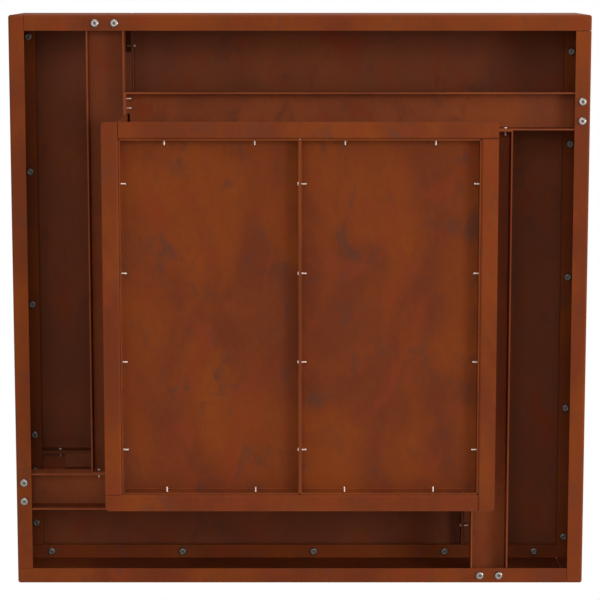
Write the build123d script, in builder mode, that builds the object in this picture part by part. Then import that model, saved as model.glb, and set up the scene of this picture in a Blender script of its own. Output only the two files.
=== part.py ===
"""A square planter of weathering steel: a tub for soil, and a wide bench-like deck carried round it.

The frame has +Z up and its origin on the ground under the middle of the planter. Sizes are in millimetres.

Every sheet part is made four times in a pinwheel: each one starts at its own corner and runs past the next.
Only the west one (on the -X side) is drawn here. A quarter turn about Z gives the south one, a half turn the
east one and three quarters the north one, so each joint between neighbours is the same joint four times over.
"""

import os

from build123d import *

# Overall sizes
deck_width = 1200.0  # outside of the deck and the skirt, both ways
tub_width = 720.0  # inside of the tub, both ways
total_height = 450.0  # ground to the top of the deck
skirt_clearance = 205.0  # ground to the skirt's rim, the toe space under the bench

# Sheet and folds
sheet = 3.0
bend_inside = 2.0  # inside radius of every fold
loose_corner = 8.0  # radius cut on the free corners of the flanges
shadow_gap = 1.0  # gap left where two sheets of one surface meet end to end

# Tub
foot_flange = 31.0  # how far the tub's foot and head flanges stand out from its wall
lap_tab = 28.0  # width of the tab that laps the next wall, inside the tub
lap_tab_gap = 10.0  # how far that tab stays from the floor pans and from the head flange
pan_lift = 2.0  # ground to the edges of the pan's flanges
pan_depth = 38.0  # height of a floor pan over its flanges

# Skirt and deck
rim_flange = 32.0  # width of the skirt's rim and head flanges, and of the deck's returns
deck_depth = 40.0  # height of a deck tray over its edges
inner_return_start = 83.0  # from the deck's outer face to where its inner return begins

# Channel beams
beam_width = 78.0
beam_depth = 50.0

# Screws, button head: thread, head width, head height, socket across flats, length under the head
screw_4 = (4.0, 7.6, 2.2, 2.5, 16.0)
screw_8 = (8.0, 14.0, 4.4, 5.0, 20.0)
screw_10 = (10.0, 17.5, 5.5, 6.0, 25.0)
nut_8 = (13.0, 6.5)  # across flats, height
nut_10 = (16.0, 8.0)
screw_play = 0.1  # radial room of a screw in its hole

# Where the screws stand
screws_per_wall = 4  # in each row along a tub wall or a floor pan's long side
pan_screw_height = 16.0
lap_screw_inset = 15.0  # from the tub's inside corner
lap_screw_shares = (0.25, 0.8)  # how far up each clear stretch of the lap its two screws stand
rim_screw_inset = 17.0  # from the outer face to the screws in the rim and under the deck
rim_screw_pitch = 40.0
joint_screw_pitch = 20.0
deck_screw_count = 4  # along each tray's long side
deck_screw_first = 50.0  # from the corner to the first of them
deck_screw_last = 40.0  # from the last of them to the seam
tray_end_screw_inset = 41.0  # from the seam to the first screw in the next tray's end
tray_end_corner_inset = 82.0  # from the corner to the other screw in that end
seam_screw_inset = 70.0  # from the outer face to the screw through a tray seam

# Planes and faces that several pieces share
bend_outside = bend_inside + sheet
deck_half = deck_width / 2
tub_inside = tub_width / 2
tub_outside = tub_inside + sheet
flange_edge = tub_outside + foot_flange
deck_bottom = total_height - deck_depth
rim_top = skirt_clearance + sheet
rim_edge = deck_half - rim_flange
rim_screw_line = deck_half - rim_screw_inset
beam_outside = tub_outside + beam_width
beam_top = rim_top + beam_depth
beam_screw_height = rim_top + beam_depth / 2
pan_top = pan_lift + pan_depth
inner_return_line = deck_half - inner_return_start
head_screw_line = tub_outside + foot_flange / 2
tub_pitch = tub_width / screws_per_wall
tub_pattern = [(n + 0.5) * tub_pitch - tub_inside for n in range(screws_per_wall)]
tab_low = pan_top + lap_tab_gap
tab_high = deck_bottom - lap_tab_gap

SIDES = ("west", "south", "east", "north")
os.makedirs("parts", exist_ok=True)


def seat(x, y, z, outward):
    """The place of a screw: the face under its head, with the head on the outward side."""
    return Plane(origin=(x, y, z), z_dir=outward).location


def turned(seats, quarters):
    """The same places on the side that many quarter turns further on."""
    spin = Location((0, 0, 0), (0, 0, 90 * quarters))
    return [spin * one for one in seats]


def drill(seats, screw):
    """Clearance holes for these screws through whatever sheets lie under their heads."""
    with Locations(*seats):
        Cylinder(screw[0] / 2 + screw_play, 6 * sheet, mode=Mode.SUBTRACT)


def save(piece, name):
    """Label a finished piece and write its file."""
    piece.part.label = name
    export_step(piece.part, f"parts/{name}.step")


def save_four(west, name):
    """Write the west piece and its three turned copies."""
    for quarter, side in enumerate(SIDES):
        with BuildPart() as piece:
            add(west.part, rotation=(0, 0, 90 * quarter))
        save(piece, f"{name}_{side}")


# ---- Where each kind of screw sits, on the west side ----

pan_wall_seats = [seat(-tub_outside, y, pan_screw_height, (-1, 0, 0)) for y in tub_pattern]
pan_seam_seats = [seat(-sheet, y, pan_screw_height, (-1, 0, 0)) for y in tub_pattern]
beam_tub_seats = [seat(-tub_outside - sheet, y, beam_screw_height, (-1, 0, 0)) for y in tub_pattern]
# Two lap screws below the beams and two above, an even share of each stretch in from its ends.
lap_heights = [
    low + share * (high - low)
    for low, high in ((tab_low, skirt_clearance), (beam_top, tab_high))
    for share in lap_screw_shares
]
lap_seats = [seat(lap_screw_inset - tub_inside, tub_outside, z, (0, 1, 0)) for z in lap_heights]

beam_middle = (tub_outside + beam_outside) / 2
rim_seats = [
    seat(side * rim_screw_pitch / 2 - beam_middle, -rim_screw_line, skirt_clearance, (0, 0, -1))
    for side in (-1, 1)
]
tab_middle = (flange_edge + beam_outside) / 2
joint_x = [side * joint_screw_pitch / 2 - tab_middle for side in (-1, 1)]
joint_seats = [seat(x, tub_outside + sheet, beam_screw_height, (0, 1, 0)) for x in joint_x]
# The last joint is screwed from the other side, because its flange closes the ring.
last_joint_seats = [seat(x, tub_inside, beam_screw_height, (0, -1, 0)) for x in joint_x]

deck_first, deck_last = deck_screw_first - deck_half, tub_inside - deck_screw_last
deck_pitch = (deck_last - deck_first) / (deck_screw_count - 1)
deck_y = [deck_first + n * deck_pitch for n in range(deck_screw_count)]
deck_seats = [seat(-rim_screw_line, y, deck_bottom - sheet, (0, 0, -1)) for y in deck_y]
tray_end_y = (tub_inside + tray_end_screw_inset, deck_half - tray_end_corner_inset)
tray_end_seats = [seat(-rim_screw_line, y, deck_bottom - sheet, (0, 0, -1)) for y in tray_end_y]
head_seats = [seat(-head_screw_line, y, deck_bottom - sheet, (0, 0, -1)) for y in tub_pattern]
seam_seats = [
    seat(sheet - tub_inside, seam_screw_inset - deck_half, deck_bottom + deck_depth / 2, (1, 0, 0))
]


# ---- Tub walls: a C-section with an end tab folded in to lap the next wall ----

with BuildPart() as tub_wall:
    with BuildSketch(Plane.XZ.offset(-tub_inside)) as section:
        with BuildLine():
            Polyline(
                (-flange_edge, 0),
                (-tub_inside, 0),
                (-tub_inside, deck_bottom),
                (-flange_edge, deck_bottom),
                (-flange_edge, deck_bottom - sheet),
                (-tub_outside, deck_bottom - sheet),
                (-tub_outside, sheet),
                (-flange_edge, sheet),
                close=True,
            )
        make_face()
        fillet(section.vertices().filter_by_position(Axis.X, -tub_inside, -tub_inside), bend_outside)
        fillet(section.vertices().filter_by_position(Axis.X, -tub_outside, -tub_outside), bend_inside)
    extrude(amount=tub_inside + flange_edge)
    free_corners = tub_wall.edges().filter_by(Axis.Z).group_by(Axis.Y)[0].group_by(Axis.X)[0]
    fillet(free_corners, loose_corner)
    # Room at the far end for the fold, with a relief slot above and below the tab.
    with BuildSketch(Plane.XY.offset(tab_low - sheet)):
        with Locations((-tub_inside, tub_inside - bend_outside)):
            Rectangle(2 * foot_flange, 2 * bend_outside, align=(Align.CENTER, Align.MIN))
    extrude(amount=tab_high - tab_low + 2 * sheet, mode=Mode.SUBTRACT)
    with BuildSketch(Plane.XY.offset(tab_low)) as fold:
        with BuildLine():
            Polyline(
                (-tub_outside, tub_inside - bend_outside),
                (-tub_outside, tub_inside),
                (lap_tab - tub_inside, tub_inside),
                (lap_tab - tub_inside, tub_inside - sheet),
                (-tub_inside, tub_inside - sheet),
                (-tub_inside, tub_inside - bend_outside),
                close=True,
            )
        make_face()
        fillet(fold.vertices().sort_by_distance((-tub_outside, tub_inside))[0], bend_outside)
        fillet(fold.vertices().sort_by_distance((-tub_inside, tub_inside - sheet))[0], bend_inside)
    extrude(amount=tab_high - tab_low)
    drill(pan_wall_seats + lap_seats + turned(lap_seats, 1), screw_4)
    drill(beam_tub_seats + head_seats, screw_8)
save_four(tub_wall, "tub_wall")


# ---- Floor pans: two shallow trays upside down, their flanges against the walls and each other ----

def block(west, east, south, north, low, high, mode=Mode.ADD):
    """A plain block between these six faces."""
    with Locations(((west + east) / 2, (south + north) / 2, (low + high) / 2)):
        Box(east - west, north - south, high - low, mode=mode)


def nearest(edges, *points):
    """The edge of this list whose middle is nearest to each point."""
    return [edges.sort_by(lambda edge: (edge @ 0.5 - Vector(*point)).length)[0] for point in points]


def pan_form(west, east, half_length, low, high, radius):
    """A block with its upright and its top edges rounded: one side of the folded sheet."""
    with BuildPart() as form:
        block(west, east, -half_length, half_length, low, high)
        fillet(form.edges().filter_by(Axis.Z), radius)
        fillet(form.faces().sort_by(Axis.Z)[-1].edges(), radius)
    return form.part


def floor_pan(west, east):
    """A plate with four flanges turned down and its corners closed."""
    outside = pan_form(west, east, tub_inside, pan_lift, pan_top, bend_outside)
    inner_ends = tub_inside - sheet
    hollow = pan_form(west + sheet, east - sheet, inner_ends, pan_lift - sheet, pan_top - sheet, bend_inside)
    with BuildPart() as pan:
        add(outside)
        add(hollow, mode=Mode.SUBTRACT)
        for quarter in range(4):
            drill(turned(pan_wall_seats, quarter), screw_4)
        drill(pan_seam_seats, screw_4)
    return pan


save(floor_pan(-tub_inside, 0), "floor_pan_west")
save(floor_pan(0, tub_inside), "floor_pan_east")


# ---- Channel beams: open downwards, from the tub wall out to the skirt's rim ----

beam_near = sheet - deck_half  # the end plate's outer face, against the skirt wall
beam_far = tub_inside - bend_outside  # relief beside the joint tab, so that its fold is clear
tab_fold = 8.0  # how far the fold of the rim tab reaches up the end plate
joint_tab_edge = flange_edge + shadow_gap

with BuildPart() as beam_outer:
    block(-beam_outside, -tub_outside, beam_near, beam_far, rim_top, beam_top)
    block(-beam_outside, -joint_tab_edge, 0, tub_outside, rim_top, beam_top)
    crown = beam_outer.faces().sort_by(Axis.Z)[-1].edges()
    folds = nearest(
        crown,
        (-beam_outside, 0, beam_top),
        (-tub_outside, 0, beam_top),
        (-beam_middle, beam_near, beam_top),
        (-tab_middle, tub_outside, beam_top),
    )
    fillet(folds, bend_outside)

with BuildPart() as beam_hollow:
    block(sheet - beam_outside, -tub_outside - sheet, beam_near + sheet, tub_inside, 0, beam_top - sheet)
    fillet(beam_hollow.faces().sort_by(Axis.Z)[-1].edges(), bend_inside)

with BuildPart() as channel_beam:
    add(beam_outer.part)
    add(beam_hollow.part, mode=Mode.SUBTRACT)
    tab_west = sheet + shadow_gap - beam_outside
    tab_east = -tub_outside - sheet - shadow_gap
    # The end plate's lower edge makes way for a tab folded in over the rim flange, and the side flanges are
    # clipped there, clear of the skirt's own fold.
    end_face = (beam_near, beam_near + sheet)
    block(-beam_outside, -tub_outside, *end_face, rim_top, rim_top + tab_fold, mode=Mode.SUBTRACT)
    with BuildSketch(Plane.YZ.offset(tab_west)) as rim_tab:
        with BuildLine():
            Polyline(
                (beam_near, rim_top),
                (-rim_edge, rim_top),
                (-rim_edge, rim_top + sheet),
                (beam_near + sheet, rim_top + sheet),
                (beam_near + sheet, rim_top + tab_fold),
                (beam_near, rim_top + tab_fold),
                close=True,
            )
        make_face()
        fillet(rim_tab.vertices().sort_by_distance((beam_near, rim_top))[0], bend_outside)
        inner_corner = (beam_near + sheet, rim_top + sheet)
        fillet(rim_tab.vertices().sort_by_distance(inner_corner)[0], bend_inside)
    extrude(amount=tab_east - tab_west)
    drill(beam_tub_seats, screw_8)
    drill(joint_seats + turned(joint_seats, 1), screw_4)
    drill(rim_seats, screw_10)
save_four(channel_beam, "channel_beam")


# ---- Skirt panels: a wall with rim and head flanges, wrapped round one corner ----

def skirt_form(west, south, north, low, high, radius):
    """A block whose west and south faces join each other and the top and bottom with round edges."""
    east = -rim_edge if radius > bend_inside else 0
    with BuildPart() as form:
        block(west, east, south, north, low, high)
        fillet(form.edges().filter_by(Axis.Z).sort_by(Axis.Y)[:2].sort_by(Axis.X)[0], radius)
        level = form.faces().filter_by(Axis.Z).edges()
        fillet(level.group_by(Axis.X)[0] + level.filter_by(Axis.X).group_by(Axis.Y)[0], radius)
    return form.part


skirt_end = rim_edge - shadow_gap
skirt_outer = skirt_form(-deck_half, -deck_half, skirt_end, skirt_clearance, deck_bottom, bend_outside)
skirt_hollow = skirt_form(
    sheet - deck_half, sheet - deck_half, deck_half, rim_top, deck_bottom - sheet, bend_inside
)

with BuildPart() as skirt_panel:
    add(skirt_outer)
    add(skirt_hollow, mode=Mode.SUBTRACT)
    drill(turned(rim_seats, 3) + deck_seats + tray_end_seats, screw_10)
save_four(skirt_panel, "skirt_panel")


# ---- Deck trays: a top plate with its edges turned down, and in again where it is carried ----

def tray_form(west, east, south, north, low, high, radius):
    """A block with round edges, except at its north end, where only the top edge is round."""
    with BuildPart() as form:
        block(west, east, south, north, low, high)
        fillet(form.edges().filter_by(Axis.Z).group_by(Axis.Y)[0], radius)
        under = form.faces().sort_by(Axis.Z)[0].edges()
        fillet(under - under.filter_by(Axis.X).sort_by(Axis.Y)[-1:], radius)
        fillet(form.faces().sort_by(Axis.Z)[-1].edges(), radius)
    return form.part


tray_outer = tray_form(
    -deck_half, -tub_inside, -deck_half, tub_inside, deck_bottom, total_height, bend_outside
)
tray_hollow = tray_form(
    sheet - deck_half,
    -tub_outside,
    sheet - deck_half,
    tub_inside - sheet,
    deck_bottom + sheet,
    total_height - sheet,
    bend_inside,
)

with BuildPart() as deck_tray:
    add(tray_outer)
    add(tray_hollow, mode=Mode.SUBTRACT)
    # Underneath, the tray is open between its returns, and the inner return stops short of the seam screw.
    under = (deck_bottom - sheet, deck_bottom + sheet + bend_inside)
    block(-rim_edge, -tub_outside, -rim_edge, -inner_return_line, *under, mode=Mode.SUBTRACT)
    return_edge = -tub_outside - foot_flange + shadow_gap
    block(-rim_edge, return_edge, -inner_return_line - sheet, tub_inside - sheet, *under, mode=Mode.SUBTRACT)
    drill(deck_seats + turned(tray_end_seats, 1), screw_10)
    drill(head_seats, screw_8)
    drill(seam_seats + turned(seam_seats, 3), screw_4)
save_four(deck_tray, "deck_tray")


# ---- Screws and nuts ----

def button_screw(screw):
    """A domed screw with a hexagon socket: its head stands on Z = 0 and its thread goes down."""
    thread, head, height, socket, length = screw
    rim_height = height / 8
    crown = head / 4
    tip = thread / 10
    with BuildPart() as blank:
        with BuildSketch(Plane.XZ):
            with BuildLine():
                Line((0, height), (crown, height))
                SagittaArc((crown, height), (head / 2, rim_height), head / 14)
                Polyline(
                    (head / 2, rim_height),
                    (head / 2, 0),
                    (thread / 2, 0),
                    (thread / 2, tip - length),
                    (thread / 2 - tip, -length),
                    (0, -length),
                    (0, height),
                )
            make_face()
        revolve(axis=Axis.Z)
        with BuildSketch(Plane.XY.offset(height)):
            RegularPolygon(socket / 2, 6, major_radius=False)
        extrude(amount=-0.6 * height, mode=Mode.SUBTRACT)
    return blank.part


def hexagon_nut(nut, screw):
    """A nut standing on Z = 0 and reaching up to Z = its height on the thread's side."""
    width, height = nut
    with BuildPart() as blank:
        with BuildSketch():
            RegularPolygon(width / 2, 6, major_radius=False)
            Circle(screw[0] / 2 + screw_play, mode=Mode.SUBTRACT)
        extrude(amount=height)
    return blank.part


def group(name, blank, seats):
    """Copies of one fastener at all its seats, kept as separate solids in one file."""
    with BuildPart() as pieces:
        with Locations(*seats):
            add(blank)
    save(pieces, name)


def all_round(seats):
    """The west side's places and those of the other three sides."""
    return [one for quarter in range(4) for one in turned(seats, quarter)]


def behind(seats, grip):
    """Places for nuts: that far behind the face under the screw's head, facing away from it."""
    return [one * Location((0, 0, -grip), (180, 0, 0)) for one in seats]


m4, m8, m10 = button_screw(screw_4), button_screw(screw_8), button_screw(screw_10)
three_joints = [one for quarter in (1, 2, 3) for one in turned(joint_seats, quarter)]
deck_places = all_round(deck_seats + tray_end_seats)

group("pan_wall_screws", m4, all_round(pan_wall_seats))
group("pan_seam_screws", m4, pan_seam_seats)
group("tub_lap_screws", m4, all_round(lap_seats))
group("tray_seam_screws", m4, all_round(seam_seats))
group("beam_tub_screws", m8, all_round(beam_tub_seats))
group("beam_joint_screws", m4, last_joint_seats + three_joints)
group("deck_rim_screws", m10, deck_places)
group("deck_tub_screws", m8, all_round(head_seats))
group("rim_screws", m10, all_round(rim_seats))
group("deck_rim_nuts", hexagon_nut(nut_10, screw_10), behind(deck_places, 2 * sheet))
group("deck_tub_nuts", hexagon_nut(nut_8, screw_8), behind(all_round(head_seats), 2 * sheet))
group("rim_nuts", hexagon_nut(nut_10, screw_10), behind(all_round(rim_seats), 2 * sheet))
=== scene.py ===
# %% [markdown]
# # A weathering-steel planter with a deck round it
# The planter is folded sheet steel, screwed together. A tub for soil stands in the middle, and a wide deck,
# low enough to sit on, is carried round it on four channel beams. A skirt hangs from the deck's outer edge.
# The folded sheets come from the CAD model with every fold and hole in its place, so their shape stays as it
# is, and this lesson gives them their rust. The screws and nuts are only plain blanks there, so they are made
# again here with sockets, domes and threads.

import math

import bpy
import numpy as np
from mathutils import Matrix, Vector


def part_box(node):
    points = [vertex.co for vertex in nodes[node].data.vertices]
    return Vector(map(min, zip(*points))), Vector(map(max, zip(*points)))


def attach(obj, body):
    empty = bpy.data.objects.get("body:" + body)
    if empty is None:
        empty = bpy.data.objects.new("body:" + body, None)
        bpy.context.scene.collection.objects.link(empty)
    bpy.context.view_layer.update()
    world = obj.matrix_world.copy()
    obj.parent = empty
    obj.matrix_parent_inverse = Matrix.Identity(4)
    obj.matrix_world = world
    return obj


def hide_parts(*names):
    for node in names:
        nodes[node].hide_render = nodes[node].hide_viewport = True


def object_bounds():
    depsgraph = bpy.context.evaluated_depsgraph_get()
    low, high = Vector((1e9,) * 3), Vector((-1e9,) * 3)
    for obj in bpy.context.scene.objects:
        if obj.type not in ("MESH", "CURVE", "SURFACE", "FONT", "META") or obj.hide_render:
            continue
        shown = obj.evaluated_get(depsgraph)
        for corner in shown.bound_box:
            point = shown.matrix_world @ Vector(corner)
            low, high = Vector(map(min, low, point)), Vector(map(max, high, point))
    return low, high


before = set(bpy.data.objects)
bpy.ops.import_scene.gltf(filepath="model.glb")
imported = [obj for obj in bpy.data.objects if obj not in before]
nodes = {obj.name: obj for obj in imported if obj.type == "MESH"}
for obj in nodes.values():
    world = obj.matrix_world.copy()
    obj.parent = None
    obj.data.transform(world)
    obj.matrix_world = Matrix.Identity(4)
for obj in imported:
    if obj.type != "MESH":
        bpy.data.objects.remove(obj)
cad_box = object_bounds()
low, high = cad_box
print(f"{len(nodes)} CAD nodes, {high.x - low.x:.3f} x {high.y - low.y:.3f} x {high.z - low.z:.3f} m")

# %% [markdown]
# ## The camera
# The planter is looked at from underneath, as a fitter would see it before setting it down: the foot of the
# tub is nearest and the underside of the deck is furthest. A long lens keeps the near and far edges close to
# parallel. The camera could be shifted to take in the same view, but a shift would follow it into every other
# view. So it hangs a little in front of the middle and is tilted back instead, and the walls that face it
# show as thin strips.

# %% Camera under the planter
SENSOR = 0.036  # width of the film, in metres
FOCAL_LENGTH = 0.1364
UNDER_RIM = 4.7027  # from the skirt's rim straight down to the camera
TOWARDS_FRONT = 0.6911  # how far in front of the middle the camera hangs
TILT = 0.1441  # radians back towards the middle

rim_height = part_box("skirt_panel_west")[0].z
camera_data = bpy.data.cameras.new("camera")
camera_data.sensor_width = SENSOR * 1000
camera_data.lens = FOCAL_LENGTH * 1000
camera_data.clip_end = 100
camera = bpy.data.objects.new("camera", camera_data)
bpy.context.scene.collection.objects.link(camera)
camera.location = (0, -TOWARDS_FRONT, rim_height - UNDER_RIM)
camera.rotation_euler = (math.pi - TILT, 0, 0)
bpy.context.scene.camera = camera
bpy.context.scene.view_settings.view_transform = "Standard"
print(f"camera {-camera.location.z:.2f} m under the ground, {math.degrees(TILT):.1f} degrees off plumb")

# %% [markdown]
# ## Soft studio light
# Rust has no shine to speak of, so a viewer reads its colour, and hard light would hide that. A pale surround
# lights the planter evenly from all sides. Below the ground, where the camera is, a lamp on the right gives
# the folds their soft shadows, a broad one further down fills them, and two low ones, at the right and in
# front, lift the upright walls. A key and a fill above the ground light the top. A Light Path node lets the
# camera see a plain white backdrop while the surround gives its own, weaker light.

# %% Surround and lamps
SURROUND_LIGHT = 0.62
SURROUND_COLOUR = (1.0, 0.985, 0.965, 1)
BACKDROP_LIGHT = 1.0
KEY_COLOUR = (1.0, 0.985, 0.96)


def studio_surround(light, backdrop):
    """A white surround that lights the object by one amount and looks to the camera like another."""
    world = bpy.data.worlds.new("studio")
    world.use_nodes = True
    tree = world.node_tree
    tree.nodes.clear()
    lit = tree.nodes.new("ShaderNodeBackground")
    lit.inputs["Color"].default_value = SURROUND_COLOUR
    lit.inputs["Strength"].default_value = light
    seen = tree.nodes.new("ShaderNodeBackground")
    seen.inputs["Color"].default_value = (1, 1, 1, 1)
    seen.inputs["Strength"].default_value = backdrop
    path = tree.nodes.new("ShaderNodeLightPath")
    choose = tree.nodes.new("ShaderNodeMixShader")
    out = tree.nodes.new("ShaderNodeOutputWorld")
    tree.links.new(path.outputs["Is Camera Ray"], choose.inputs["Fac"])
    tree.links.new(lit.outputs["Background"], choose.inputs[1])
    tree.links.new(seen.outputs["Background"], choose.inputs[2])
    tree.links.new(choose.outputs["Shader"], out.inputs["Surface"])
    return world


def lamp(name, place, target, width, power, colour=(1, 1, 1)):
    """A round area lamp that points at a target and stays out of the camera's sight."""
    data = bpy.data.lights.new(name, "AREA")
    data.shape = "DISK"
    data.size = width
    data.energy = power
    data.color = colour
    made = bpy.data.objects.new(name, data)
    bpy.context.scene.collection.objects.link(made)
    made.location = place
    made.rotation_euler = (Vector(target) - Vector(place)).to_track_quat("-Z", "Y").to_euler()
    made.visible_camera = False
    return made


bpy.context.scene.world = studio_surround(SURROUND_LIGHT, BACKDROP_LIGHT)
middle = (low + high) / 2
lamps = [
    lamp("key_below", (3.05, -0.85, -3.9), middle, 2.0, 74, KEY_COLOUR),
    lamp("broad_below", (-0.3, -1.6, -6.1), middle, 2.6, 96),
    lamp("side_below", (5.2, -0.8, -0.45), middle, 1.4, 140),
    lamp("front_below", (-0.4, -5.2, -0.45), middle, 1.4, 65),
    lamp("key_above", (2.6, -3.2, 3.6), middle, 1.8, 150, KEY_COLOUR),
    lamp("fill_above", (-3.6, 2.4, 2.8), middle, 2.6, 60),
]
print(f"{len(lamps)} lamps")

# %% [markdown]
# ## The floor
# The planter stands on a plain pale floor, and the camera is under it. So the floor has one side only: the
# Backfacing output of the Geometry node tells which side a ray meets, and from below the floor is clear. It
# also lets light through both ways, so that the underside is lit as if the planter had been lifted.

# %% One-sided floor
FLOOR_HALF = 40.0
FLOOR_GAP = 0.0005  # left under the feet, so that no two faces lie in one plane


def one_sided_floor(half, height):
    """A large square that is pale from above and clear from below."""
    mesh = bpy.data.meshes.new("floor")
    corners = [(-half, -half, height), (half, -half, height), (half, half, height), (-half, half, height)]
    mesh.from_pydata(corners, [], [(0, 1, 2, 3)])
    floor = bpy.data.objects.new("floor", mesh)
    bpy.context.scene.collection.objects.link(floor)
    material = bpy.data.materials.new("floor")
    material.use_nodes = True
    tree = material.node_tree
    tree.nodes.clear()
    pale = tree.nodes.new("ShaderNodeBsdfDiffuse")
    pale.inputs["Color"].default_value = (0.80, 0.80, 0.79, 1)
    clear = tree.nodes.new("ShaderNodeBsdfTransparent")
    side = tree.nodes.new("ShaderNodeNewGeometry")
    choose = tree.nodes.new("ShaderNodeMixShader")
    out = tree.nodes.new("ShaderNodeOutputMaterial")
    tree.links.new(side.outputs["Backfacing"], choose.inputs["Fac"])
    tree.links.new(pale.outputs["BSDF"], choose.inputs[1])
    tree.links.new(clear.outputs["BSDF"], choose.inputs[2])
    tree.links.new(choose.outputs["Shader"], out.inputs["Surface"])
    mesh.materials.append(material)
    floor.visible_shadow = False
    floor.visible_diffuse = False
    floor.visible_glossy = False
    return floor


floor = one_sided_floor(FLOOR_HALF, low.z - FLOOR_GAP)
print("floor at", round(low.z, 4))

# %% [markdown]
# ## Shader groups shared by the finishes
# A finish is easier to tune when each effect is a box of its own with named dials. The groups here work out
# colours, masks and heights, and the materials below put them into a shader. All of them read the Object
# coordinates, which are metres in the planter's own frame, so a patch of rust is as large on one sheet as on
# the next and doesn't slide when the planter moves.

# %% Helpers for shader groups
def new_group(name, inputs, outputs):
    """An empty node group with these inputs {name: (kind, default)} and outputs {name: kind}."""
    group = bpy.data.node_groups.new(name, "ShaderNodeTree")
    for label, (kind, default) in inputs.items():
        socket = group.interface.new_socket(label, in_out="INPUT", socket_type="NodeSocket" + kind)
        if default is not None:
            socket.default_value = default
    for label, kind in outputs.items():
        group.interface.new_socket(label, in_out="OUTPUT", socket_type="NodeSocket" + kind)
    return group, group.nodes.new("NodeGroupInput"), group.nodes.new("NodeGroupOutput")


def join(tree, start, end):
    """Link an output to an input."""
    tree.links.new(start, end)


def noise(tree, place, scale, detail=3.0, roughness=0.55, distortion=0.0):
    """A noise value between 0 and 1 at these coordinates. Scale is in lumps per metre."""
    node = tree.nodes.new("ShaderNodeTexNoise")
    node.inputs["Detail"].default_value = detail
    node.inputs["Roughness"].default_value = roughness
    node.inputs["Distortion"].default_value = distortion
    join(tree, place, node.inputs["Vector"])
    if isinstance(scale, (int, float)):
        node.inputs["Scale"].default_value = scale
    else:
        join(tree, scale, node.inputs["Scale"])
    return node.outputs["Fac"]


def math_node(tree, operation, first, second=None, clamp=False):
    """A Math node; each operand is a number or an output."""
    node = tree.nodes.new("ShaderNodeMath")
    node.operation = operation
    node.use_clamp = clamp
    for socket, value in zip(node.inputs, (first, second)):
        if value is None:
            continue
        if isinstance(value, (int, float)):
            socket.default_value = value
        else:
            join(tree, value, socket)
    return node.outputs["Value"]


def between(tree, value, start, end, low=0.0, high=1.0):
    """The value's smooth share of the way from start to end, spread from low to high."""
    node = tree.nodes.new("ShaderNodeMapRange")
    node.interpolation_type = "SMOOTHSTEP"
    join(tree, value, node.inputs["Value"])
    node.inputs["From Min"].default_value = start
    node.inputs["From Max"].default_value = end
    node.inputs["To Min"].default_value = low
    node.inputs["To Max"].default_value = high
    return node.outputs["Result"]


def blend_colour(tree, share, first, second):
    """The first colour turned into the second by a share: (1 - share) first + share second."""
    node = tree.nodes.new("ShaderNodeMix")
    node.data_type = "RGBA"
    sockets = (node.inputs["Factor"], node.inputs[6], node.inputs[7])
    for socket, value in zip(sockets, (share, first, second)):
        if isinstance(value, (int, float)):
            socket.default_value = value
        elif isinstance(value, tuple):
            socket.default_value = (*value, 1)
        else:
            join(tree, value, socket)
    return node.outputs[2]


print("helpers ready")

# %% [markdown]
# ### Rust in soft patches
# Weathering steel rusts unevenly: where water dried slowly the skin is a violet brown, where it ran off it is
# orange, and here and there it is foxy red. The patches are up to a hand's breadth wide and have no sharp
# border. A picture of rust would repeat and show its seams, so the patches are mixed from three slow noises,
# each pulled about by a little distortion, and a fourth, quicker one breaks up their edges. A Mapping node
# ahead of them shortens Y and Z, which draws the patches out along those two.

# %% Rust tones group
DRAWN_OUT = (1, 0.62, 0.62)
SECOND_SHIFT = (3.1, 7.7, 1.9)  # keeps the second noise from following the first
THIRD_SHIFT = (-5.3, 2.2, 8.4)


def rust_tones():
    """Colour of the rust skin, and a mask of how weathered it is, from four noises of falling size."""
    group, given, result = new_group(
        "rust_tones",
        {
            "Place": ("Vector", None),
            "Brown": ("Color", (0.134, 0.0270, 0.0088, 1)),
            "Orange": ("Color", (0.194, 0.0415, 0.0084, 1)),
            "Red": ("Color", (0.188, 0.0310, 0.0102, 1)),
            "Violet": ("Color", (0.112, 0.0335, 0.0190, 1)),
            "Patch Scale": ("Float", 7.0),
        },
        {"Color": "Color", "Weathering": "Float"},
    )
    drawn_out = group.nodes.new("ShaderNodeMapping")
    drawn_out.inputs["Scale"].default_value = DRAWN_OUT
    join(group, given.outputs["Place"], drawn_out.inputs["Vector"])
    place = drawn_out.outputs["Vector"]
    slow = noise(group, place, given.outputs["Patch Scale"], 2.0, 0.5, 0.6)
    moved = group.nodes.new("ShaderNodeVectorMath")
    moved.inputs[1].default_value = SECOND_SHIFT
    join(group, place, moved.inputs[0])
    second = noise(group, moved.outputs["Vector"], 15.0, 3.0, 0.55, 0.8)
    moved_again = group.nodes.new("ShaderNodeVectorMath")
    moved_again.inputs[1].default_value = THIRD_SHIFT
    join(group, place, moved_again.inputs[0])
    third = noise(group, moved_again.outputs["Vector"], 21.0, 4.0, 0.6, 0.5)
    mottle = noise(group, place, 85.0, 4.0, 0.6)
    both = math_node(group, "ADD", slow, math_node(group, "MULTIPLY", mottle, 0.25))
    weathering = between(group, both, 0.42, 0.86)
    colour = blend_colour(group, weathering, given.outputs["Brown"], given.outputs["Orange"])
    colour = blend_colour(group, between(group, second, 0.50, 0.74, 0, 0.75), colour, given.outputs["Red"])
    colour = blend_colour(group, between(group, third, 0.52, 0.76, 0, 0.8), colour, given.outputs["Violet"])
    join(group, colour, result.inputs["Color"])
    join(group, weathering, result.inputs["Weathering"])
    return group


RUST_TONES = rust_tones()
print("group", RUST_TONES.name)

# %% [markdown]
# ### Grain of the rust
# Close up the skin is a fine, dry crust with darker pits. A Voronoi pattern gives grains of one to two
# millimetres on top of a noise, and a slower noise gathers the pits so that some areas have more. The group
# puts out a height for bump, and a mask of the pits for colour and roughness.

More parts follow.
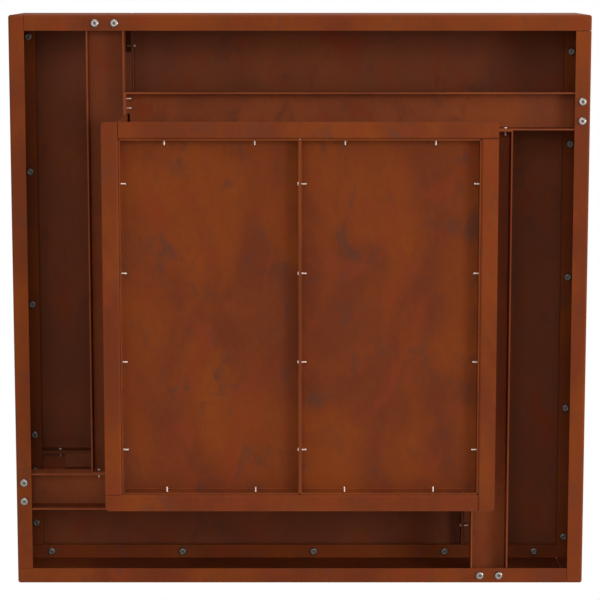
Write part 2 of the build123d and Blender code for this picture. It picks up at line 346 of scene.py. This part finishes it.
# %% Rust grain group
def rust_grain():
    """Height of the crust, which is noise + 0.35 grains - 0.5 pits, and the mask of the pits."""
    group, given, result = new_group(
        "rust_grain",
        {"Place": ("Vector", None), "Grain Scale": ("Float", 620.0)},
        {"Height": "Float", "Pits": "Float"},
    )
    place = given.outputs["Place"]
    cells = group.nodes.new("ShaderNodeTexVoronoi")
    cells.feature = "SMOOTH_F1"
    cells.inputs["Smoothness"].default_value = 0.6
    join(group, place, cells.inputs["Vector"])
    join(group, given.outputs["Grain Scale"], cells.inputs["Scale"])
    crust = noise(group, place, 240.0, 5.0, 0.65)
    gathered = noise(group, place, 38.0, 2.0, 0.5)
    speckle = noise(group, place, 520.0, 3.0, 0.6)
    pits = math_node(
        group, "MULTIPLY", between(group, speckle, 0.60, 0.72), between(group, gathered, 0.42, 0.62)
    )
    grains = math_node(group, "MULTIPLY", cells.outputs["Distance"], 0.35)
    raised = math_node(group, "ADD", crust, grains)
    height = math_node(group, "SUBTRACT", raised, math_node(group, "MULTIPLY", pits, 0.5))
    join(group, height, result.inputs["Height"])
    join(group, pits, result.inputs["Pits"])
    return group


RUST_GRAIN = rust_grain()
print("group", RUST_GRAIN.name)

# %% [markdown]
# ### Rubbed edges
# Along a fold or a cut edge the crust is thinner, because hands, boots and other sheets rub it, and the steel
# under it rusts again in a paler, drier tone. The Bevel node gives a normal that is rounded near an edge. How
# far it turns from the true normal is a mask of the edges, and a noise makes the rubbing come and go.

# %% Rubbed edge group
def rubbed_edge():
    """Mask of worn edges: 1 - (rounded normal . true normal), made smooth, times a noise that breaks it."""
    group, given, result = new_group(
        "rubbed_edge",
        {"Place": ("Vector", None), "Reach": ("Float", 0.004)},
        {"Edge": "Float"},
    )
    rounded = group.nodes.new("ShaderNodeBevel")
    rounded.samples = 6
    join(group, given.outputs["Reach"], rounded.inputs["Radius"])
    flat = group.nodes.new("ShaderNodeNewGeometry")
    dot = group.nodes.new("ShaderNodeVectorMath")
    dot.operation = "DOT_PRODUCT"
    join(group, rounded.outputs["Normal"], dot.inputs[0])
    join(group, flat.outputs["Normal"], dot.inputs[1])
    turned = math_node(group, "SUBTRACT", 1.0, dot.outputs["Value"])
    edge = between(group, turned, 0.004, 0.16)
    broken = between(group, noise(group, given.outputs["Place"], 55.0, 4.0, 0.65), 0.30, 0.62, 0.25, 1.0)
    join(group, math_node(group, "MULTIPLY", edge, broken, clamp=True), result.inputs["Edge"])
    return group


RUBBED_EDGE = rubbed_edge()
print("group", RUBBED_EDGE.name)

# %% [markdown]
# ### Run-off on upright walls
# Rain runs down the skirt and the tub, and leaves faint upright streaks, dark where it stayed wet. The
# coordinates are squeezed along Z, which draws the lumps of the noise out into streaks, and the Geometry
# normal keeps them off the level faces.

# %% Run-off group
SQUEEZED = (1, 1, 0.06)


def run_off():
    """Mask of streaks: a noise stretched along Z, on faces whose normal is nearly level."""
    group, given, result = new_group("run_off", {"Place": ("Vector", None)}, {"Streaks": "Float"})
    stretch = group.nodes.new("ShaderNodeMapping")
    stretch.inputs["Scale"].default_value = SQUEEZED
    join(group, given.outputs["Place"], stretch.inputs["Vector"])
    lines = between(group, noise(group, stretch.outputs["Vector"], 60.0, 4.0, 0.6), 0.46, 0.70)
    facing = group.nodes.new("ShaderNodeNewGeometry")
    parts = group.nodes.new("ShaderNodeSeparateXYZ")
    join(group, facing.outputs["Normal"], parts.inputs["Vector"])
    upright = between(group, math_node(group, "ABSOLUTE", parts.outputs["Z"]), 0.7, 0.2)
    join(group, math_node(group, "MULTIPLY", lines, upright), result.inputs["Streaks"])
    return group


RUN_OFF = run_off()
print("group", RUN_OFF.name)

# %% [markdown]
# ## The weathering steel
# Each sheet was cut from its own plate and weathered in its own place, so each gets the same recipe with its
# own piece of the noise, and each kind of sheet has its own tones. The channel beams' lighter tones are
# painted light, for the extra light that falls on them nearer the camera. The rust colour comes from the
# patches, the pits darken it, the streaks dull it and the rubbed edges lighten it. The crust is matt, and
# only where it has been rubbed or has dried smooth does it turn satin, so Roughness follows the same masks. A
# low Specular level on the shader keeps the reflections as weak as those of a porous skin, and a warm
# Specular Tint keeps them from looking grey.

# %% Weathering steel recipe
PIT_COLOUR = (0.060, 0.018, 0.008)
WET_COLOUR = (0.085, 0.026, 0.011)
RUBBED_COLOUR = (0.270, 0.098, 0.040)
CRUST_HEIGHT = 0.0004
SPECULAR_LEVEL = 0.12
SPECULAR_TINT = (1.0, 0.55, 0.35, 1)


def place_group(tree, group, **values):
    """A group node in this material, with some of its dials set."""
    node = tree.nodes.new("ShaderNodeGroup")
    node.node_tree = group
    for label, value in values.items():
        node.inputs[label.replace("_", " ")].default_value = value
    return node


def weathering_steel(name, offset, tones):
    """The rust finish of one sheet: the groups' colours and masks put into one shader."""
    material = bpy.data.materials.new(name)
    material.use_nodes = True
    tree = material.node_tree
    shader = tree.nodes["Principled BSDF"]
    place = tree.nodes.new("ShaderNodeTexCoord")
    shifted = tree.nodes.new("ShaderNodeMapping")
    shifted.inputs["Location"].default_value = offset
    join(tree, place.outputs["Object"], shifted.inputs["Vector"])
    here = shifted.outputs["Vector"]
    patches = place_group(tree, RUST_TONES, **tones)
    grain = place_group(tree, RUST_GRAIN)
    edge = place_group(tree, RUBBED_EDGE)
    streaks = place_group(tree, RUN_OFF)
    for node in (patches, grain, edge, streaks):
        join(tree, here, node.inputs["Place"])
    pitted = math_node(tree, "MULTIPLY", grain.outputs["Pits"], 0.55)
    wet = math_node(tree, "MULTIPLY", streaks.outputs["Streaks"], 0.35)
    rubbed = math_node(tree, "MULTIPLY", edge.outputs["Edge"], 0.08)
    colour = blend_colour(tree, pitted, patches.outputs["Color"], PIT_COLOUR)
    colour = blend_colour(tree, wet, colour, WET_COLOUR)
    colour = blend_colour(tree, rubbed, colour, RUBBED_COLOUR)
    join(tree, colour, shader.inputs["Base Color"])
    matt = between(tree, patches.outputs["Weathering"], 0.0, 1.0, 0.66, 0.80)
    matt = math_node(tree, "ADD", matt, math_node(tree, "MULTIPLY", grain.outputs["Pits"], 0.12))
    matt = math_node(tree, "SUBTRACT", matt, math_node(tree, "MULTIPLY", edge.outputs["Edge"], 0.14))
    join(tree, matt, shader.inputs["Roughness"])
    shader.inputs["Specular IOR Level"].default_value = SPECULAR_LEVEL
    shader.inputs["Specular Tint"].default_value = SPECULAR_TINT
    bump = tree.nodes.new("ShaderNodeBump")
    bump.inputs["Strength"].default_value = 0.30
    bump.inputs["Distance"].default_value = CRUST_HEIGHT
    join(tree, grain.outputs["Height"], bump.inputs["Height"])
    join(tree, bump.outputs["Normal"], shader.inputs["Normal"])
    return material


def dress(node, material):
    """Give a CAD node this material in place of its plain one, without touching its mesh data."""
    piece = nodes[node]
    for index in range(len(piece.material_slots)):
        piece.material_slots[index].link = "OBJECT"
        piece.material_slots[index].material = material


NOISE_STEP = (1.7, -2.3, 0.9)  # metres between the pieces of noise that two sheets take
SHEETS = {
    "tub_wall": {},
    "floor_pan": {"Violet": (0.086, 0.0300, 0.0195, 1), "Brown": (0.128, 0.0265, 0.0092, 1)},
    # The channel beams' lighter Brown and Orange are painted light: they brighten the beams for the light
    # that falls on them nearer the camera.
    "channel_beam": {"Brown": (0.165, 0.0400, 0.0160, 1), "Orange": (0.225, 0.0540, 0.0170, 1)},
    "skirt_panel": {"Patch_Scale": 6.0},
    "deck_tray": {
        "Patch_Scale": 6.0, "Brown": (0.142, 0.0370, 0.0175, 1), "Orange": (0.190, 0.0480, 0.0180, 1)
    },
}
dressed = 0
for family, tones in SHEETS.items():
    for order, node in enumerate(sorted(name for name in nodes if name.startswith(family))):
        offset = (NOISE_STEP[0] * dressed, NOISE_STEP[1] * order, NOISE_STEP[2] * dressed)
        dress(node, weathering_steel("rust_" + node, offset, tones))
        dressed += 1
print(dressed, "sheets dressed")

# %% [markdown]
# ## The screws and nuts
# The screws are stainless button heads: a low dome with a hexagon socket, on a full thread. Such a turned
# part is a radius for every angle and every step along its outline, so it is worked out as one grid: the
# angle runs round, the outline runs from the middle of the socket over the dome and down the thread to the
# tip. In the socket the radius is that of a hexagon, and on the thread it is a cosine that climbs one pitch
# in each turn. The grid closes in a single point at both ends.

# %% Grid helpers
COLUMNS = 24  # round each screw and nut: a multiple of six, so that a hexagon's corners fall on columns


def hexagon(flat_width, angles):
    """Radius of a hexagon at each angle.

    It is half the width across flats, over the cosine of the angle from the middle of the nearest flat."""
    from_flat = (angles + math.pi / 6) % (math.pi / 3) - math.pi / 6
    return flat_width / 2 / np.cos(from_flat)


def grid_faces(rows, columns, closed):
    """Corner numbers of the quads between neighbouring rows; closed joins the last row to the first."""
    row, column = np.meshgrid(np.arange(rows if closed else rows - 1), np.arange(columns), indexing="ij")
    after, beside = (row + 1) % rows, (column + 1) % columns
    first, second = row * columns, after * columns
    corners = (first + column, first + beside, second + beside, second + column)
    return np.stack(corners, axis=-1).reshape(-1, 4)


def turned_points(radius, height, angles):
    """Points of a turned surface: radius times the cosine and sine of the angle, at that height."""
    radius, height = np.broadcast_arrays(radius, height)
    return np.stack([radius * np.cos(angles), radius * np.sin(angles), height], axis=-1).reshape(-1, 3)


ANGLES = np.linspace(0, 2 * math.pi, COLUMNS, endpoint=False)
print(f"{COLUMNS} columns, a 6 mm hexagon is {hexagon(6, ANGLES).max():.2f} mm to its corners")

# %% Button screw shape
ROWS_PER_PITCH = 4
DOME_ROWS = 7
HEAD_PER_CROWN = 3.4  # the head's width over the radius of the flat round the socket
SOCKET_DEPTH, LIP_DEPTH, RIM_HEIGHT = 0.6, 0.02, 0.125  # in head heights
LIP_SPREAD = 1.06  # the socket's mouth over the socket
THREAD_DEPTH = 0.61  # in pitches, as on a metric thread
HEAD_FADE = 12  # the thread grows to its full depth in the first twelfth of the length
TIP_FADE = 0.8  # and fades over this many pitches at the tip


def button_screw(thread, pitch, head, height, socket, length):
    """Points and faces of a screw whose head stands on Z = 0, all in metres.

    The dome is a quarter of an ellipse from the crown to the rim. The thread's radius is its root plus its
    depth times (1 + cos(2 pi height / pitch + angle)) / 2, and it fades out at the tip and under the head.
    The plus before the angle winds it to the left; a minus there would wind it to the right, as on most
    real screws."""
    crown, rim, depth = head / HEAD_PER_CROWN, RIM_HEIGHT * height, SOCKET_DEPTH * height
    swing = np.linspace(0, 1, DOME_ROWS)[:, None]
    dome_radius = crown + (head / 2 - crown) * np.sin(swing * math.pi / 2)
    dome_height = rim + (height - rim) * np.cos(swing * math.pi / 2)
    wall = hexagon(socket, ANGLES)[None, :]
    lip = wall * LIP_SPREAD
    head_radius = np.vstack([wall, wall, lip, np.repeat(dome_radius, COLUMNS, axis=1)])
    head_height = np.vstack([[[height - depth]], [[height - LIP_DEPTH * height]], [[height]], dome_height])
    steps = int(round(length / pitch * ROWS_PER_PITCH))
    along = np.linspace(0, 1, steps + 1)[:, None]
    down = -length * along
    fade = np.clip(np.minimum(along * HEAD_FADE, (1 - along) * length / (TIP_FADE * pitch)), 0, 1)
    bite = THREAD_DEPTH * pitch
    wave = 0.5 + 0.5 * np.cos(2 * math.pi * down / pitch + ANGLES[None, :])
    thread_radius = thread / 2 - bite * (1 - wave * fade)
    seat_radius = np.repeat([[head / 2], [thread / 2 - bite]], COLUMNS, axis=1)
    rows_radius = np.vstack([head_radius, seat_radius, thread_radius[1:]])
    rows_height = np.vstack([head_height, [[0], [0]], down[1:]])
    points = turned_points(rows_radius, np.repeat(rows_height, COLUMNS, axis=1), ANGLES)
    rows = len(rows_radius)
    centre, tip = len(points), len(points) + 1
    points = np.vstack([points, [[0, 0, height - depth], [0, 0, -length]]])
    faces = grid_faces(rows, COLUMNS, closed=False)
    ring = np.arange(COLUMNS)
    beside = (ring + 1) % COLUMNS
    last = (rows - 1) * COLUMNS
    socket_floor = np.stack([beside, ring, np.full(COLUMNS, centre)], axis=1)
    end_face = np.stack([last + ring, last + beside, np.full(COLUMNS, tip)], axis=1)
    return points, faces[:, ::-1], np.vstack([socket_floor[:, ::-1], end_face[:, ::-1]])


print("screw formula ready")

# %% Hexagon nut shape
CONE_SLOPE = math.tan(math.radians(30))
SEAT_RADIUS = 0.475  # of the nut's round face, over its width across flats
BORE_CHAMFER = 0.08  # over the bore's radius


def hexagon_nut(width, height, bore):
    """Points and faces of a nut that stands on Z = 0, as a ring: up the bore, over the top, down the outside.

    Outside, the radius is the smaller of the hexagon's and that of a 30 degree cone that cuts its corners."""
    hex_radius = hexagon(width, ANGLES)[None, :]
    seat = SEAT_RADIUS * width
    corner_drop = (hex_radius.max() - seat) * CONE_SLOPE
    steps = np.array([0, 0.35, 0.7, 1.0])[:, None] * corner_drop
    cone = seat + steps / CONE_SLOPE
    chamfer = np.minimum(hex_radius, cone)
    bore_rows = np.full((2, COLUMNS), bore)
    mouth = np.full((1, COLUMNS), (1 + BORE_CHAMFER) * bore)
    radius = np.vstack([mouth, bore_rows, mouth, chamfer, chamfer[::-1]])
    lip = BORE_CHAMFER * bore
    heights = np.vstack([[[0], [lip], [height - lip], [height]], height - steps, steps[::-1]])
    points = turned_points(radius, np.repeat(heights, COLUMNS, axis=1), ANGLES)
    return points, grid_faces(len(radius), COLUMNS, closed=True)[:, ::-1], np.empty((0, 3), int)


print("nut formula ready")

# %% [markdown]
# ### Where each screw sits
# The CAD blanks know it already. A blank group is one mesh of many loose solids, so it is split first: every
# point takes the lowest number among its triangle's points, over and over, until each solid has one number.
# A screw lies along its longest side and its head is at the wider end. A nut lies along its shortest side.
# Each one is turned by its own amount about its axis, as a fitter leaves them.

# %% Read the places from the blanks
def loose_solids(mesh):
    """The points of each loose solid of a mesh, as a list of arrays."""
    points = np.empty(len(mesh.vertices) * 3)
    mesh.vertices.foreach_get("co", points)
    points = points.reshape(-1, 3)
    corners = np.empty(len(mesh.polygons) * 3, int)
    mesh.polygons.foreach_get("vertices", corners)
    unique, place = np.unique(np.round(points, 6), axis=0, return_inverse=True)
    triangles = place.ravel()[corners].reshape(-1, 3)
    number = np.arange(len(unique))
    while True:
        lowest = number[triangles].min(axis=1)
        lower = number.copy()
        for side in range(3):
            np.minimum.at(lower, triangles[:, side], lowest)
        lower = lower[lower]
        if (lower == number).all():
            return [unique[number == one] for one in np.unique(number)]
        number = lower


def screw_seat(points, head_height):
    """The middle of the face under a screw's head, and the direction that its head points in."""
    low, high = points.min(axis=0), points.max(axis=0)
    axis = int(np.argmax(high - low))
    across = np.delete(points, axis, axis=1)
    spread = np.abs(across - across.mean(axis=0)).max(axis=1)
    widest = points[spread > 0.9 * spread.max(), axis].mean()
    middle = (low + high) / 2
    way = np.zeros(3)
    way[axis] = 1.0 if widest > middle[axis] else -1.0
    top = high[axis] if way[axis] > 0 else low[axis]
    middle[axis] = top - way[axis] * head_height
    return middle, way


def nut_seat(points):
    """The middle of a nut's lower face, and the direction of its axis."""
    low, high = points.min(axis=0), points.max(axis=0)
    axis = int(np.argmin(high - low))
    middle = (low + high) / 2
    middle[axis] = low[axis]
    way = np.zeros(3)
    way[axis] = 1.0
    return middle, way


def placed(points, seat, way, turn):
    """Points turned about Z, tipped so that Z points the given way, and moved to the seat."""
    side = np.roll(way, 1)
    frame_axes = np.stack([side, np.cross(way, side), way])
    cosine, sine = math.cos(turn), math.sin(turn)
    spin = np.array([[cosine, -sine, 0], [sine, cosine, 0], [0, 0, 1]])
    return points @ spin.T @ frame_axes + seat


total = sum(len(loose_solids(nodes[name].data)) for name in nodes if name.endswith(("screws", "nuts")))
print(total, "fasteners found")

# %% [markdown]
# ### Stainless steel
# Turned and pickled stainless is a metal, so its colour is in its reflection. It is satin: a broad highlight
# on the dome, fine marks, and brown dust from the rust that has settled on it in patches. One recipe serves
# four finishes. The clean ends are warm pink, a painted reflection of the rust round them. Screws that a hand
# or a key has dulled are grey. The ones deep under the deck are darker, partly from heavy dust and partly as
# painted shade for their deep place, and the sockets are darker still: painted shade inside the recess, with
# dust in it.

# %% Dusty metal group and stainless material
DUST_COLOUR = (0.20, 0.085, 0.045)
DUST_ROUGHNESS = 0.8
MARK_HEIGHT = 0.0001


def rust_dust():
    """Mask of settled dust, which is patches times speckles times the amount, and a height for fine marks."""
    group, given, result = new_group(
        "rust_dust",
        {"Place": ("Vector", None), "Amount": ("Float", 0.4)},
        {"Dust": "Float", "Marks": "Float"},
    )
    place = given.outputs["Place"]
    patchy = between(group, noise(group, place, 130.0, 4.0, 0.6), 0.42, 0.68)
    speckled = between(group, noise(group, place, 1500.0, 3.0, 0.6), 0.40, 0.66, 0.35, 1.0)
    dust = math_node(group, "MULTIPLY", patchy, speckled)
    settled = math_node(group, "MULTIPLY", dust, given.outputs["Amount"], clamp=True)
    join(group, settled, result.inputs["Dust"])
    join(group, noise(group, place, 2600.0, 4.0, 0.7), result.inputs["Marks"])
    return group


def stainless(name, metal, satin, dust_amount):
    """Stainless steel of this colour and roughness; under rust dust, Metallic falls to 1 - dust."""
    material = bpy.data.materials.new(name)
    material.use_nodes = True
    tree = material.node_tree
    shader = tree.nodes["Principled BSDF"]
    place = tree.nodes.new("ShaderNodeTexCoord")
    dusty = place_group(tree, RUST_DUST, Amount=dust_amount)
    join(tree, place.outputs["Object"], dusty.inputs["Place"])
    dust = dusty.outputs["Dust"]
    join(tree, blend_colour(tree, dust, metal, DUST_COLOUR), shader.inputs["Base Color"])
    join(tree, between(tree, dust, 0.0, 1.0, satin, DUST_ROUGHNESS), shader.inputs["Roughness"])
    join(tree, math_node(tree, "SUBTRACT", 1.0, dust, clamp=True), shader.inputs["Metallic"])
    bump = tree.nodes.new("ShaderNodeBump")
    bump.inputs["Strength"].default_value = 0.12
    bump.inputs["Distance"].default_value = MARK_HEIGHT
    join(tree, dusty.outputs["Marks"], bump.inputs["Height"])
    join(tree, bump.outputs["Normal"], shader.inputs["Normal"])
    return material


RUST_DUST = rust_dust()
# The clean finish's warm pink colour is a painted reflection: it stands in for the rust round the screws
# mirrored in the steel.
CLEAN = stainless("stainless_clean_painted_reflection", (0.92, 0.83, 0.77), 0.48, 0.10)
HANDLED = stainless("stainless_handled", (0.36, 0.335, 0.315), 0.42, 0.45)
# The dulled finish on the bolts deep under the deck is darker partly from its heavy dust and partly as
# painted shade for the deep ring.
DULLED = stainless("stainless_dulled_painted_shade", (0.24, 0.215, 0.20), 0.50, 0.90)
# The socket finish is darker than the rest to paint the shade inside the hexagon recess; the dust on it is
# dust.
SOCKET = stainless("stainless_socket_painted_shade", (0.19, 0.170, 0.155), 0.60, 0.90)
print("4 stainless finishes")

# %% [markdown]
# ### Putting the screws in
# One group of blanks becomes one piece: the grid of a screw or nut is repeated at every place that was read,
# all in one set of arrays. The piece's object stays at the origin with its places in its mesh, as the CAD
# nodes have them, so the finish reads true coordinates.

# %% Build and place the fasteners
MM = 0.001
TURN_SEED = 11
SHARP_ANGLE = math.radians(38)  # an edge that turns further stays crisp
SCREW_SIZES = {
    4: (4.0, 0.7, 7.6, 2.2, 2.5, 16.0),  # thread, pitch, head width, head height, socket, length
    8: (8.0, 1.25, 14.0, 4.4, 5.0, 20.0),
    10: (10.0, 1.5, 17.5, 5.5, 6.0, 25.0),
}
NUT_SIZES = {8: (13.0, 6.5, 4.1), 10: (16.0, 8.0, 5.1)}  # across flats, height, bore radius
SCREW_GROUPS = {
    "pan_wall_screws": (4, CLEAN),
    "pan_seam_screws": (4, CLEAN),
    "tub_lap_screws": (4, CLEAN),
    "tray_seam_screws": (4, CLEAN),
    "beam_joint_screws": (4, CLEAN),
    "beam_tub_screws": (8, HANDLED),
    "deck_tub_screws": (8, DULLED),
    "deck_rim_screws": (10, DULLED),
    "rim_screws": (10, HANDLED),
}
NUT_GROUPS = {"deck_tub_nuts": (8, DULLED), "deck_rim_nuts": (10, DULLED), "rim_nuts": (10, HANDLED)}
turns = np.random.default_rng(TURN_SEED)


def fastener_piece(name, blank, points, quads, triangles, seats, materials):
    """One mesh of a fastener repeated at its seats, which replaces its blank group.

    A second material goes on the first ring of quads and the first of triangles, which are the socket."""
    copies = [placed(points, seat, way, turns.uniform(0, 2 * math.pi)) for seat, way in seats]
    steps = np.arange(len(copies)) * len(points)
    all_quads = (quads[None] + steps[:, None, None]).reshape(-1, 4)
    all_triangles = (triangles[None] + steps[:, None, None]).reshape(-1, 3)
    mesh = bpy.data.meshes.new(name)
    mesh.from_pydata(np.vstack(copies), [], all_quads.tolist() + all_triangles.tolist())
    mesh.polygons.foreach_set("use_smooth", np.ones(len(mesh.polygons), bool))
    mesh.set_sharp_from_angle(angle=SHARP_ANGLE)
    for material in materials:
        mesh.materials.append(material)
    if len(materials) == 2:
        in_quads = np.tile(np.arange(len(quads)) < COLUMNS, len(copies))
        in_triangles = np.tile(np.arange(len(triangles)) < COLUMNS, len(copies))
        in_socket = np.concatenate([in_quads, in_triangles]).astype(np.int32)
        mesh.polygons.foreach_set("material_index", in_socket)
    piece = bpy.data.objects.new(name, mesh)
    bpy.context.scene.collection.objects.link(piece)
    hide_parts(blank)
    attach(piece, "root")
    return piece


for blank, (size, finish) in SCREW_GROUPS.items():
    sizes = [value * MM for value in SCREW_SIZES[size]]
    head_height = sizes[3]
    seats = [screw_seat(solid, head_height) for solid in loose_solids(nodes[blank].data)]
    piece = fastener_piece("threaded_" + blank, blank, *button_screw(*sizes), seats, (finish, SOCKET))
    print(piece.name, len(seats), "screws,", len(piece.data.polygons), "faces")
for blank, (size, finish) in NUT_GROUPS.items():
    sizes = [value * MM for value in NUT_SIZES[size]]
    seats = [nut_seat(solid) for solid in loose_solids(nodes[blank].data)]
    piece = fastener_piece("chamfered_" + blank, blank, *hexagon_nut(*sizes), seats, (finish,))
    print(piece.name, len(seats), "nuts,", len(piece.data.polygons), "faces")

# %% [markdown]
# ## The CAD box
# The box of the CAD model, read at the start, is printed.

print("CAD box", [round(value, 4) for corner in cad_box for value in corner])
